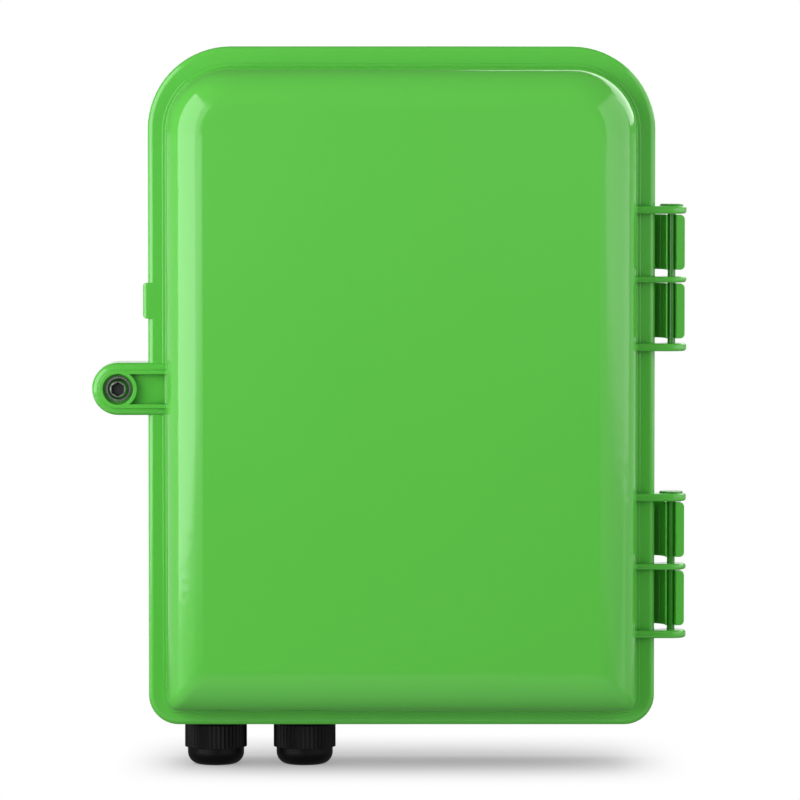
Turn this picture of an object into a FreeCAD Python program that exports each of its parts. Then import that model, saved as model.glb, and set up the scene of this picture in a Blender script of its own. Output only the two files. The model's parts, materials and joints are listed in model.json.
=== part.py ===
import FreeCAD
import Part
import math
import os

# A small wall-mounted fibre cross-connect box, moulded in plastic.
# All sizes are in millimetres. X runs to the right, Y runs back to the wall, Z runs up.
# The origin is the middle of the back face, on the wall; the cover faces -Y.

V = FreeCAD.Vector
OUT = "parts"

# How close counts as the same place, and how far a cut runs past the face it opens
near = 0.01
past = 1.0

# Outline of the box, seen from the front
box_width = 220.0
box_height = 295.0
top_corner = 36.0
bottom_corner = 13.0
corner_floor = 1.5

# Base tray
base_depth = 60.0
base_inset = 3.0
base_wall = 3.0
back_wall = 3.0
base_draft = 1.0
back_edge_round = 2.5
rim_inset = 1.2
rim_thick = 4.0
seal_gap = 0.3

# Cover: a flange with a rolled edge, and a raised panel
cover_wall = 2.6
flange_thick = 6.0
flange_edge = 2.3
panel_inset = 7.3
panel_drop = 1.0
panel_rise = 30.0
panel_draft = 1.4
panel_low_lean = 2.4
panel_roll = 16.0
panel_low_corner = 4.0
roll_steps = 6
foot_step = 0.9
foot_step_rise = 0.7

# Seal: a groove in the cover, a gasket in it and a tongue on the base
groove_inset = 3.0
groove_width = 3.0
groove_depth = 3.6
gasket_thick = 1.6
gasket_side_gap = 0.05
tongue_width = 1.2
tongue_gap = 0.3

# Snap hinges on the right
hinge_offset = 7.2
hinge_drop = 3.0
rod_radius = 1.7
rod_hole_gap = 0.05
clip_bore_gap = 0.4
clip_wall = 3.5
clip_mouth_half = 1.5
clip_length = 23.8
clip_corner = 2.0
clip_arm_depth = 15.0
clip_lip = 1.8
clip_shelf_gap = 0.6
clip_slope_side = 2.9
clip_slope_back = 4.8
scoop_radius = 9.0
scoop_side = 11.4
scoop_forward = 2.2
lead_in_start = 1.5
ear_wall = 4.8
ear_thick = 3.4
middle_ear_thick = 2.6
ear_pitch = 29.8
ear_clip_gap = 0.5
ear_round = 1.2
ear_root = 1.0
rod_head = 0.9
rod_head_radius = 5.1
rod_head_round = 0.6
upper_hinge_drop = 69.0
lower_hinge_rise = 101.1

# Lock on the left
lock_offset = 13.0
lock_height = -1.0
lug_radius = 11.4
lug_rise = 1.7
lug_round = 2.6
lug_rib = 1.7
lug_rib_rise = 0.8
ring_outer = 8.25
ring_bore = 6.7
bolt_seat_depth = 4.0
lug_pocket_floor = 5.0
retainer_recess = 6.0
retainer_recess_depth = 2.0
base_lug_inset = 0.1
base_lug_depth = 14.0
base_lug_gusset = 12.0
insert_outer = 4.6
insert_depth = 12.0
bolt_radius = 3.0
bolt_hole_gap = 0.4
insert_thread_gap = 0.5
bolt_head_radius = 4.6
bolt_head_height = 4.0
bolt_collar = 3.45
bolt_collar_height = 1.2
bolt_socket_flats = 5.0
bolt_socket_depth = 3.2
bolt_reach = 10.0
bolt_tip_chamfer = 0.75
washer_radius = 5.35
washer_thick = 1.0
retainer_radius = 5.2
retainer_thick = 1.2
retainer_fit = 0.08

# Finger tab on the left edge of the cover
tab_centre = 37.3
tab_length = 15.5
tab_reach = 2.2
tab_round = 1.6
tab_root = 3.3

# Cable glands under the base
gland_side = 28.2
gland_spacing = 39.1
gland_back = 30.0
gland_pad = 14.8
gland_pad_proud = 0.6
gland_inner_pad = 1.5
gland_thread = 11.0
gland_hole_gap = 0.3
gland_bore = 8.4
gland_washer_outer = 13.6
gland_washer_thick = 1.2
gland_collar_flats = 26.0
gland_collar_thick = 4.0
gland_thread_inside = 11.0
gland_cage_outer = 10.2
gland_cage_length = 10.0
gland_nut_outer = 13.65
gland_nut_rib = 0.55
gland_nut_ribs = 44
gland_nut_gap = 0.4
gland_nut_grip = 10.1
gland_nut_barrel = 12.4
gland_nut_length = 17.9
gland_nut_round = 5.4
gland_nut_lip = 2.2
gland_mouth = 6.4
gland_play = 0.2
gland_seal_bore = 4.5
locknut_flats = 27.0
locknut_thick = 5.0

# Wall screws through the back
screw_side = 22.0
screw_end = 52.5
screw_hole = 2.6
screw_boss = 6.5
screw_boss_height = 4.0
post_root = 0.5

# Splice tray and its posts
tray_width = 150.0
tray_height = 92.0
tray_corner = 22.0
tray_top_space = 35.5
tray_back = 14.0
tray_deep = 11.0
tray_wall = 1.6
tray_lid_thick = 1.5
tray_lid_gap = 0.1
tray_post_radius = 4.0
tray_post_side = 19.0
tray_post_end = 16.0
tray_hub_outer = 15.0
tray_hub_across = 84.0
tray_hub_wall = 1.6
tray_entry_across = 92.0
tray_entry_wide = 14.0
tray_entry_sill = 1.2
tray_thumb_radius = 7.3
splice_comb_width = 26.0
splice_comb_height = 46.0
splice_rib_thick = 1.2
splice_ribs = 12
splice_rib_deep = 6.0
tray_screw_radius = 1.5
tray_screw_head = 2.8
tray_screw_head_thick = 1.8
tray_screw_length = 7.0
tray_hole_length = 8.0
tray_screw_gap = 0.15

# Adapter panel and the adapters in it
panel_above_clamps = 64.0
panel_end = 10.0
panel_plate_thick = 1.6
panel_plate_back = 10.0
panel_plate_front = 44.0
panel_foot = 16.0
panel_screw_room = 13.0
adapter_count = 8
adapter_pitch = 17.0
adapter_wide = 9.3
adapter_deep = 12.8
adapter_long = 26.0
adapter_flange_deep = 21.6
adapter_flange_thick = 1.8
adapter_fit = 0.15
adapter_wall = 1.2
adapter_socket_depth = 10.0
adapter_depth_centre = 27.0
adapter_key_wide = 2.4
adapter_key_long = 4.5
sleeve_radius = 2.3
sleeve_length = 13.0

# Cable clamps above the glands
clamp_rise = 28.0
clamp_width = 35.0
clamp_tall = 12.0
clamp_thick = 2.5
clamp_arch = 6.5
clamp_post_height = 12.0
clamp_post_radius = 3.5
clamp_screw_across = 26.0

# Places worked out from the sizes above
rim_y = -base_depth
base_top_y = rim_y + seal_gap
flange_y = rim_y - flange_thick
panel_y = flange_y - panel_rise
half_width = box_width / 2.0
half_height = box_height / 2.0
groove_middle = groove_inset + groove_width / 2.0
hinge_x = half_width + hinge_offset
hinge_y = rim_y - hinge_drop
ear_radius = rod_radius + ear_wall
clip_bore = rod_radius + clip_bore_gap
clip_outer = clip_bore + clip_wall
lock_x = -(half_width + lock_offset)
lug_y = flange_y - lug_rise
lug_rib_y = lug_y - lug_rib_rise
bolt_seat_y = rim_y - bolt_seat_depth
gland_y = -gland_back
gland_seat_z = -(half_height - base_inset) - gland_pad_proud
gland_inner_z = -(half_height - base_inset - base_wall) + gland_inner_pad
tray_y = -tray_back
base_inside_y = -back_wall
hinge_tops = (half_height - upper_hinge_drop, lower_hinge_rise - half_height)
first_gland = gland_side - half_width
gland_places = (first_gland, first_gland + gland_spacing)
screw_across = box_width - 2.0 * screw_side
screw_up = box_height - 2.0 * screw_end
tray_centre_z = half_height - tray_top_space - tray_height / 2.0
tray_post_across = tray_width - 2.0 * tray_post_side
tray_post_up = tray_height - 2.0 * tray_post_end
clamp_height = gland_inner_z + clamp_rise
panel_plate_height = clamp_height + panel_above_clamps
panel_screw_across = (adapter_count - 1) * adapter_pitch + panel_screw_room
panel_plate_width = panel_screw_across + 2.0 * panel_end
screw_way = tray_screw_radius + tray_screw_gap
side_wall_x = half_width - base_inset - base_wall / 2.0
panel_wall_x = half_width - panel_inset - cover_wall / 2.0
low_wall_z = -(half_height - base_inset - base_wall / 2.0)


def export(shape, name):
    """Write one solid or group of solids as its own STEP file."""
    shape.exportStep(os.path.join(OUT, name + ".step"))


def corner_arc(x, z, radius, side, end, y):
    """A quarter circle about a corner's centre; side and end say which corner."""
    middle = radius * math.sqrt(0.5)
    return Part.Arc(
        V(x + side * radius, y, z),
        V(x + side * middle, y, z + end * middle),
        V(x, y, z + end * radius),
    )


def outline_wire(inset, y, drop=0.0, low_lean=0.0, least_corner=corner_floor):
    """The box's outline: large round corners above, small ones below."""
    half_w = half_width - inset
    high_z = half_height - inset - drop
    low_z = -(half_height - inset) - drop + low_lean
    top = max(top_corner - inset, least_corner)
    low = max(bottom_corner - inset, least_corner)
    edges = [
        Part.LineSegment(V(-half_w + low, y, low_z), V(half_w - low, y, low_z)),
        corner_arc(half_w - low, low_z + low, low, 1, -1, y),
        Part.LineSegment(V(half_w, y, low_z + low), V(half_w, y, high_z - top)),
        corner_arc(half_w - top, high_z - top, top, 1, 1, y),
        Part.LineSegment(V(half_w - top, y, high_z), V(-half_w + top, y, high_z)),
        corner_arc(-half_w + top, high_z - top, top, -1, 1, y),
        Part.LineSegment(V(-half_w, y, high_z - top), V(-half_w, y, low_z + low)),
        corner_arc(-half_w + low, low_z + low, low, -1, -1, y),
    ]
    return Part.Wire([edge.toShape() for edge in edges])


def outline_slab(inset, y_back, y_front):
    """A straight-sided slab with the box's outline."""
    face = Part.Face(outline_wire(inset, y_back))
    return face.extrude(V(0, y_front - y_back, 0))


def outline_block(inset_back, y_back, inset_front, y_front):
    """A block with the box's outline whose sides have draft."""
    wires = [outline_wire(inset_back, y_back), outline_wire(inset_front, y_front)]
    return Part.makeLoft(wires, True, True)


def outline_ring(inset, width, y_back, y_front):
    """A closed band that follows the box's outline."""
    outer = outline_slab(inset, y_back, y_front)
    return outer.cut(outline_slab(inset + width, y_back, y_front))


def edges_at_y(shape, y):
    """The edges that lie wholly in the plane at this depth."""
    found = []
    for edge in shape.Edges:
        box = edge.BoundBox
        if abs(box.YMin - y) < near and abs(box.YMax - y) < near:
            found.append(edge)
    return found


def edges_at_z(shape, z):
    """The edges that lie wholly in the plane at this height."""
    found = []
    for edge in shape.Edges:
        box = edge.BoundBox
        if abs(box.ZMin - z) < near and abs(box.ZMax - z) < near:
            found.append(edge)
    return found


def block(x0, x1, y0, y1, z0, z1):
    """A box between two corners, given in any order."""
    low = V(min(x0, x1), min(y0, y1), min(z0, z1))
    return Part.makeBox(abs(x1 - x0), abs(y1 - y0), abs(z1 - z0), low)


def rod_y(radius, x, z, y_back, y_front):
    """A round rod along the depth of the box."""
    return Part.makeCylinder(radius, abs(y_front - y_back), V(x, max(y_back, y_front), z), V(0, -1, 0))


def rod_z(radius, x, y, z_low, z_high):
    """A round rod that stands upright."""
    return Part.makeCylinder(radius, z_high - z_low, V(x, y, z_low))


def prism_z(points, z_low, z_high):
    """An upright prism with a plan made of straight sides."""
    corners = [V(x, y, z_low) for x, y in points]
    face = Part.Face(Part.makePolygon(corners + corners[:1]))
    return face.extrude(V(0, 0, z_high - z_low))


def turned_z(profile, x, y):
    """A turned piece on an upright axis, from radius and height pairs."""
    corners = [V(radius, 0, z) for radius, z in profile]
    face = Part.Face(Part.makePolygon(corners + corners[:1]))
    solid = face.revolve(V(0, 0, 0), V(0, 0, 1), 360)
    solid.translate(V(x, y, 0))
    return solid


def hexagon_z(flats, x, y, z_low, z_high):
    """A hexagon bar that stands upright, by its width across flats."""
    radius = flats / math.sqrt(3.0)
    points = []
    for step in range(6):
        angle = math.radians(60.0 * step)
        points.append((x + radius * math.cos(angle), y + radius * math.sin(angle)))
    return prism_z(points, z_low, z_high)


def rounded_plate(width, height, corner, x, z, y_back, y_front):
    """A plate facing the front with four round corners."""
    plate = block(x - width / 2, x + width / 2, y_back, y_front, z - height / 2, z + height / 2)
    upright = []
    for edge in plate.Edges:
        if edge.BoundBox.YLength > abs(y_front - y_back) - near:
            upright.append(edge)
    return plate.makeFillet(corner, upright)


def outer_edges(lug, y, root_x):
    """The edges of a lug in the plane at this depth, without the one at its root."""
    return [edge for edge in edges_at_y(lug, y) if edge.BoundBox.XMin < root_x - near]


def lug_slab(radius, y_back, y_front, root_x):
    """The lock's lug seen from the front: straight sides and a round end."""
    straight = block(lock_x, root_x, y_back, y_front, lock_height - radius, lock_height + radius)
    return straight.fuse(rod_y(radius, lock_x, lock_height, y_back, y_front)).removeSplitter()


def hinge_ear_ranges(top):
    """Height ranges of one hinge's three ears, from the top down."""
    middle_low = top - ear_pitch - ear_thick
    last_low = top - 2.0 * ear_pitch - ear_thick
    return (
        (top - ear_thick, top),
        (middle_low, middle_low + middle_ear_thick),
        (last_low, last_low + ear_thick),
    )


def hinge_clip_ranges(top):
    """Height ranges of the two clips that sit under the first two ears."""
    ranges = []
    for ear_low, _ in hinge_ear_ranges(top)[:2]:
        clip_top = ear_low - ear_clip_gap
        ranges.append((clip_top - clip_length, clip_top))
    return ranges


def hinge_clip(z_low, z_high):
    """One C-shaped clip: it wraps the rod from behind and is open at the front."""
    root_x = side_wall_x
    front_y = hinge_y - clip_bore - clip_lip
    shelf_y = base_top_y + clip_shelf_gap
    throat_y = hinge_y - lead_in_start
    ring = rod_z(clip_outer, hinge_x, hinge_y, z_low, z_high)
    lip = block(hinge_x, hinge_x + clip_outer, hinge_y, front_y, z_low, z_high)
    arm = prism_z(
        [
            (root_x, shelf_y),
            (hinge_x, shelf_y),
            (hinge_x + clip_slope_side, hinge_y + clip_slope_back),
            (root_x, shelf_y + clip_arm_depth),
        ],
        z_low,
        z_high,
    )
    clip = ring.fuse([lip, arm])
    scoop = rod_z(scoop_radius, hinge_x - scoop_side, hinge_y - scoop_forward, z_low, z_high)
    throat = block(hinge_x - clip_mouth_half, hinge_x + clip_mouth_half, hinge_y, front_y, z_low, z_high)
    lead_in = prism_z(
        [
            (hinge_x - clip_mouth_half, throat_y),
            (hinge_x - clip_bore, front_y),
            (hinge_x + clip_bore, front_y),
            (hinge_x + clip_mouth_half, throat_y),
        ],
        z_low,
        z_high,
    )
    bore = rod_z(clip_bore, hinge_x, hinge_y, z_low, z_high)
    clip = clip.cut([scoop, throat, lead_in, bore])
    envelope = block(root_x, hinge_x + clip_outer, front_y, 0, z_low, z_high)
    outer = []
    for edge in envelope.Edges:
        box = edge.BoundBox
        if box.YLength > near and box.XMin > hinge_x:
            outer.append(edge)
    return clip.common(envelope.makeFillet(clip_corner, outer))


def hinge_ear(z_low, z_high):
    """One ear of the cover: a web across the flange and a round end on the rod."""
    web = block(panel_wall_x, hinge_x, rim_y, hinge_y - ear_radius, z_low, z_high)
    ear = web.fuse(rod_z(ear_radius, hinge_x, hinge_y, z_low, z_high)).removeSplitter()
    rims = edges_at_z(ear, z_low) + edges_at_z(ear, z_high)
    free = [edge for edge in rims if edge.BoundBox.XMax > panel_wall_x + ear_root]
    return ear.makeFillet(ear_round, free)


def make_base_shell():
    """The tray that is screwed to the wall, with its rim, clips, lug and posts."""
    outer = outline_block(base_inset + base_draft, 0, base_inset, base_top_y)
    outer = outer.makeFillet(back_edge_round, edges_at_y(outer, 0))
    inner = outline_block(
        base_inset + base_draft + base_wall, base_inside_y, base_inset + base_wall, base_top_y
    )
    rim = outline_slab(rim_inset, base_top_y + rim_thick, base_top_y)
    tongue_inset = groove_middle - tongue_width / 2.0
    tongue_y = rim_y - groove_depth + gasket_thick + tongue_gap
    tongue = outline_ring(tongue_inset, tongue_width, base_top_y, tongue_y)
    shell = outer.fuse([rim, base_lug()])
    shell = shell.fuse([gland_outer_pad(x) for x in gland_places])
    shell = shell.cut(inner)
    shell = shell.fuse([tongue] + base_clips() + base_posts())
    shell = shell.cut(base_holes())
    return shell.removeSplitter()


def base_lug():
    """The lug behind the cover's lock lug, with a gusset down to the side wall."""
    root_x = -side_wall_x
    back_y = base_top_y + base_lug_depth
    radius = lug_radius - base_lug_inset
    lug = lug_slab(radius, back_y, base_top_y, root_x)
    lug = lug.makeFillet(lug_round, outer_edges(lug, back_y, root_x))
    corners = [(root_x, back_y), (lock_x, back_y), (root_x, back_y + base_lug_gusset)]
    low = lock_height - base_wall / 2.0
    return lug.fuse(prism_z(corners, low, low + base_wall))


def base_clips():
    """All the clips of both hinges."""
    clips = []
    for top in hinge_tops:
        for z_low, z_high in hinge_clip_ranges(top):
            clips.append(hinge_clip(z_low, z_high))
    return clips


def gland_outer_pad(x):
    """A flat round pad under the base for one gland's washer."""
    return rod_z(gland_pad, x, gland_y, gland_seat_z, low_wall_z)


def post_places(across, up, centre_z):
    """The four corners of a rectangle of posts."""
    places = []
    for side in (-1, 1):
        for end in (-1, 1):
            places.append((side * across / 2.0, centre_z + end * up / 2.0))
    return places


def base_posts():
    """Bosses and posts that stand on the inside of the back wall."""
    posts = []
    root_y = base_inside_y + post_root
    for x, z in post_places(screw_across, screw_up, 0):
        posts.append(rod_y(screw_boss, x, z, root_y, base_inside_y - screw_boss_height))
    for x, z in post_places(tray_post_across, tray_post_up, tray_centre_z):
        posts.append(rod_y(tray_post_radius, x, z, root_y, tray_y))
    for x, z in panel_screw_places():
        posts.append(rod_y(tray_post_radius, x, z, root_y, -panel_plate_back))
    for x, z in clamp_screw_places():
        posts.append(rod_y(clamp_post_radius, x, z, root_y, base_inside_y - clamp_post_height))
    for x in gland_places:
        posts.append(rod_z(gland_pad, x, gland_y, low_wall_z, gland_inner_z))
    return posts


def base_holes():
    """Holes for wall screws, glands, inner screws and the lock's insert."""
    holes = []
    for x, z in post_places(screw_across, screw_up, 0):
        holes.append(rod_y(screw_hole, x, z, past, base_inside_y - screw_boss_height - past))
    for x in gland_places:
        hole = gland_thread + gland_hole_gap
        holes.append(rod_z(hole, x, gland_y, gland_seat_z - past, gland_inner_z + past))
    holes.append(rod_y(insert_outer, lock_x, lock_height, base_top_y + insert_depth, base_top_y - past))
    for x, z in post_places(tray_post_across, tray_post_up, tray_centre_z):
        holes.append(rod_y(screw_way, x, z, tray_y + tray_hole_length, tray_y - past))
    for x, z in panel_screw_places():
        holes.append(rod_y(screw_way, x, z, base_inside_y, -panel_plate_back - past))
    for x, z in clamp_screw_places():
        top = base_inside_y - clamp_post_height
        holes.append(rod_y(screw_way, x, z, top + tray_hole_length, top - past))
    return holes


def make_front_cover():
    """The cover: flange, raised panel, ears, lock lug and finger tab."""
    flange = outline_slab(0, rim_y, flange_y)
    flange = flange.makeFillet(flange_edge, edges_at_y(flange, flange_y))
    panel = panel_form(0, rim_y - past)
    inside = panel_form(cover_wall, rim_y)
    step_face = Part.Face(outline_wire(panel_inset - foot_step, rim_y - past, panel_drop))
    step = step_face.extrude(V(0, flange_y - foot_step_rise - rim_y + past, 0))
    groove = outline_ring(groove_inset, groove_width, rim_y, rim_y - groove_depth)
    ears = []
    for top in hinge_tops:
        for z_low, z_high in hinge_ear_ranges(top):
            ears.append(hinge_ear(z_low, z_high))
    cover = flange.fuse([panel, step, cover_lug(), finger_tab()] + ears)
    cover = cover.cut([inside, groove] + lug_cuts() + rod_holes())
    return cover.removeSplitter()


def panel_form(skin, y_back):
    """The raised panel's form with its rolled edge, or its inside one skin further in."""
    roll = panel_roll - skin
    wall_inset = panel_inset + panel_draft + skin
    roll_y = panel_y + skin + roll
    foot = outline_wire(panel_inset + skin, y_back, panel_drop, 0, panel_low_corner)
    sections = []
    for step in range(roll_steps + 1):
        angle = math.radians(90.0 * step / roll_steps)
        inward = 1.0 - math.cos(angle)
        inset = wall_inset + roll * inward
        y = roll_y - roll * math.sin(angle)
        lean = panel_low_lean * inward
        sections.append(outline_wire(inset, y, panel_drop, lean, panel_low_corner))
    wall = Part.makeLoft([foot, sections[0]], True, True)
    return wall.fuse(Part.makeLoft(sections, True, False))


def cover_lug():
    """The lock's lug on the cover: a rounded slab with a ring and two ribs."""
    slab = lug_slab(lug_radius, rim_y, lug_y, -panel_wall_x)
    slab = slab.makeFillet(lug_round, outer_edges(slab, lug_y, -panel_wall_x))
    ring = rod_y(ring_outer, lock_x, lock_height, rim_y, lug_rib_y)
    ribs = []
    for side in (-1, 1):
        z_outer = lock_height + side * ring_outer
        ribs.append(block(lock_x, -panel_wall_x, rim_y, lug_rib_y, z_outer, z_outer - side * lug_rib))
    return slab.fuse([ring] + ribs)


def lug_cuts():
    """The pocket between the ribs, the ring's bore and the bolt's hole."""
    pocket_half = ring_outer - lug_rib
    pocket_end = -(half_width - panel_inset)
    pocket_y = rim_y - lug_pocket_floor
    top_y = lug_rib_y - past
    low_z = lock_height - pocket_half
    pocket = block(lock_x, pocket_end, pocket_y, top_y, low_z, lock_height + pocket_half)
    pocket = pocket.cut(rod_y(ring_outer, lock_x, lock_height, rim_y, top_y))
    cuts = [pocket]
    cuts.append(rod_y(ring_bore, lock_x, lock_height, bolt_seat_y, top_y))
    cuts.append(rod_y(bolt_radius + bolt_hole_gap, lock_x, lock_height, rim_y + past, top_y))
    recess_y = rim_y - retainer_recess_depth
    cuts.append(rod_y(retainer_recess, lock_x, lock_height, rim_y + past, recess_y))
    return cuts


def rod_holes():
    """The holes in the ears for the two hinge rods."""
    holes = []
    for top in hinge_tops:
        ranges = hinge_ear_ranges(top)
        low = ranges[-1][0] - past
        holes.append(rod_z(rod_radius + rod_hole_gap, hinge_x, hinge_y, low, top + past))
    return holes


def finger_tab():
    """A small tab on the left edge for pulling the cover open."""
    plate = block(
        -(half_width + tab_reach),
        -(half_width - tab_root),
        rim_y,
        flange_y,
        tab_centre - tab_length / 2.0,
        tab_centre + tab_length / 2.0,
    )
    outer = []
    for edge in plate.Edges:
        box = edge.BoundBox
        if box.XMax < -half_width and box.YMin < flange_y + near:
            outer.append(edge)
    return plate.makeFillet(tab_round, outer)


def make_cover_gasket():
    """The soft gasket at the bottom of the cover's groove."""
    bottom_y = rim_y - groove_depth
    inset = groove_inset + gasket_side_gap
    width = groove_width - 2.0 * gasket_side_gap
    return outline_ring(inset, width, bottom_y + gasket_thick, bottom_y)


def make_hinge_rod(top):
    """One hinge rod, with a low round head on the top ear."""
    low = hinge_ear_ranges(top)[-1][0]
    rod = rod_z(rod_radius, hinge_x, hinge_y, low, top + rod_head)
    head = rod_z(rod_head_radius, hinge_x, hinge_y, top, top + rod_head)
    head = head.makeFillet(rod_head_round, edges_at_z(head, top + rod_head))
    return rod.fuse(head).removeSplitter()


def make_lock_bolt():
    """The lock bolt: a domed flange, a collar with a hexagon socket and a shank."""
    seat = bolt_seat_y - washer_thick
    head = Part.makeCone(bolt_head_radius, bolt_collar, bolt_head_height - bolt_collar_height)
    collar = Part.makeCylinder(bolt_collar, bolt_head_height)
    shank_length = rim_y - seat + bolt_reach
    shank = Part.makeCylinder(bolt_radius, shank_length, V(0, 0, -shank_length))
    socket_low = bolt_head_height - bolt_socket_depth
    socket = hexagon_z(bolt_socket_flats, 0, 0, socket_low, bolt_head_height + past)
    bolt = head.fuse([collar, shank]).cut(socket).removeSplitter()
    bolt = bolt.makeChamfer(bolt_tip_chamfer, edges_at_z(bolt, -shank_length))
    bolt.rotate(V(0, 0, 0), V(1, 0, 0), 90)
    bolt.translate(V(lock_x, seat, lock_height))
    return bolt


def make_lock_washer():
    """The steel washer under the lock bolt's head."""
    top = bolt_seat_y - washer_thick
    washer = rod_y(washer_radius, lock_x, lock_height, bolt_seat_y, top)
    bore = bolt_radius + retainer_fit
    return washer.cut(rod_y(bore, lock_x, lock_height, bolt_seat_y + past, top - past))


def make_lock_retainer():
    """The nylon washer that keeps the bolt in the cover when it is undone."""
    top = rim_y - retainer_recess_depth
    low = top + retainer_thick
    disc = rod_y(retainer_radius, lock_x, lock_height, low, top)
    return disc.cut(rod_y(bolt_radius + retainer_fit, lock_x, lock_height, low + past, top - past))


def make_lock_insert():
    """The brass insert in the base lug that takes the bolt."""
    low = base_top_y + insert_depth
    body = rod_y(insert_outer, lock_x, lock_height, low, base_top_y)
    bore = bolt_radius + insert_thread_gap
    return body.cut(rod_y(bore, lock_x, lock_height, low + past, base_top_y - past))


def make_gland_washer(x):
    """The rubber washer between the base and one gland."""
    low = gland_seat_z - gland_washer_thick
    disc = rod_z(gland_washer_outer, x, gland_y, low, gland_seat_z)
    bore = gland_thread + gland_play
    return disc.cut(rod_z(bore, x, gland_y, low - past, gland_seat_z + past))


def make_gland_body(x):
    """One gland's body: a thread through the wall, a hexagon collar and a cage."""
    collar_top = gland_seat_z - gland_washer_thick
    collar_low = collar_top - gland_collar_thick
    cage_low = collar_low - gland_cage_length
    top = gland_inner_z + gland_thread_inside
    body = rod_z(gland_thread, x, gland_y, collar_top, top)
    collar = hexagon_z(gland_collar_flats, x, gland_y, collar_low, collar_top)
    cage = rod_z(gland_cage_outer, x, gland_y, cage_low, collar_low)
    bore = rod_z(gland_bore, x, gland_y, cage_low - past, top + past)
    return body.fuse([collar, cage]).cut(bore).removeSplitter()


def make_gland_nut(x):
    """One gland's nut: a ribbed grip and a smooth barrel with a round end."""
    top = gland_seat_z - gland_washer_thick - gland_collar_thick - gland_nut_gap
    grip_low = top - gland_nut_grip
    low = top - gland_nut_length
    points = []
    for step in range(2 * gland_nut_ribs):
        angle = math.pi * step / gland_nut_ribs
        radius = gland_nut_outer - gland_nut_rib * (step % 2)
        points.append((x + radius * math.cos(angle), gland_y + radius * math.sin(angle)))
    grip = prism_z(points, grip_low, top)
    barrel = rod_z(gland_nut_barrel, x, gland_y, low, grip_low)
    barrel = barrel.makeFillet(gland_nut_round, edges_at_z(barrel, low))
    cage_room = gland_cage_outer + gland_play
    cage_low = top + gland_nut_gap - gland_cage_length - gland_play
    hollow = turned_z(
        [
            (0, top + past),
            (cage_room, top + past),
            (cage_room, cage_low),
            (gland_mouth, low + gland_nut_lip),
            (gland_mouth, low - past),
            (0, low - past),
        ],
        x,
        gland_y,
    )
    return grip.fuse(barrel).cut(hollow).removeSplitter()


def make_gland_seal(x):
    """The rubber seal that the nut presses round the cable."""
    collar_low = gland_seat_z - gland_washer_thick - gland_collar_thick
    low = collar_low - gland_nut_gap - gland_nut_length + gland_nut_lip + gland_play
    outer = gland_bore - gland_play
    seal = turned_z(
        [
            (gland_seal_bore, collar_low),
            (outer, collar_low),
            (outer, collar_low - gland_cage_length),
            (gland_mouth, low),
            (gland_seal_bore, low),
        ],
        x,
        gland_y,
    )
    return seal


def make_gland_locknut(x):
    """The nut inside the base that holds one gland."""
    top = gland_inner_z + locknut_thick
    nut = hexagon_z(locknut_flats, x, gland_y, gland_inner_z, top)
    return nut.cut(rod_z(gland_thread + gland_play, x, gland_y, gland_inner_z - past, top + past))


def make_splice_tray():
    """The splice tray: a shallow dish with two hubs and a comb for splices."""
    front_y = tray_y - tray_deep
    floor_y = tray_y - tray_wall
    outer = rounded_plate(tray_width, tray_height, tray_corner, 0, tray_centre_z, tray_y, front_y)
    inner = rounded_plate(
        tray_width - 2 * tray_wall,
        tray_height - 2 * tray_wall,
        tray_corner - tray_wall,
        0,
        tray_centre_z,
        floor_y,
        front_y,
    )
    tray = outer.cut(inner)
    inside = []
    hub_front = front_y + tray_wall
    for side in (-1, 1):
        x = side * tray_hub_across / 2.0
        hub = rod_y(tray_hub_outer, x, tray_centre_z, floor_y, hub_front)
        inside.append(hub.cut(rod_y(tray_hub_outer - tray_hub_wall, x, tray_centre_z, floor_y, hub_front)))
    gap = (splice_comb_height - splice_rib_thick) / (splice_ribs - 1)
    for step in range(splice_ribs):
        z = tray_centre_z - splice_comb_height / 2.0 + step * gap
        x = splice_comb_width / 2.0
        inside.append(block(-x, x, floor_y, floor_y - splice_rib_deep, z, z + splice_rib_thick))
    tray = tray.fuse(inside)
    cuts = []
    for x, z in post_places(tray_post_across, tray_post_up, tray_centre_z):
        cuts.append(rod_y(screw_way, x, z, tray_y + past, front_y))
    low_z = tray_centre_z - tray_height / 2.0
    half = tray_entry_wide / 2.0
    for side in (-1, 1):
        x = side * tray_entry_across / 2.0
        sill_y = floor_y - tray_entry_sill
        wall_in = low_z + tray_wall + past
        cuts.append(block(x - half, x + half, sill_y, front_y - past, low_z - past, wall_in))
    return tray.cut(cuts).removeSplitter()


def make_tray_lid():
    """The clear lid over the splice tray."""
    back = tray_y - tray_deep - tray_lid_gap
    front = back - tray_lid_thick
    lid = rounded_plate(tray_width, tray_height, tray_corner, 0, tray_centre_z, back, front)
    low_z = tray_centre_z - tray_height / 2.0
    return lid.cut(rod_y(tray_thumb_radius, 0, low_z, back + past, front - past))


def make_screws(places, seat_y):
    """Pan-head screws in one group, each down through its seat."""
    screws = []
    for x, z in places:
        head = rod_y(tray_screw_head, x, z, seat_y, seat_y - tray_screw_head_thick)
        shank = rod_y(tray_screw_radius, x, z, seat_y + tray_screw_length, seat_y)
        screws.append(head.fuse(shank).removeSplitter())
    return Part.makeCompound(screws)


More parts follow.
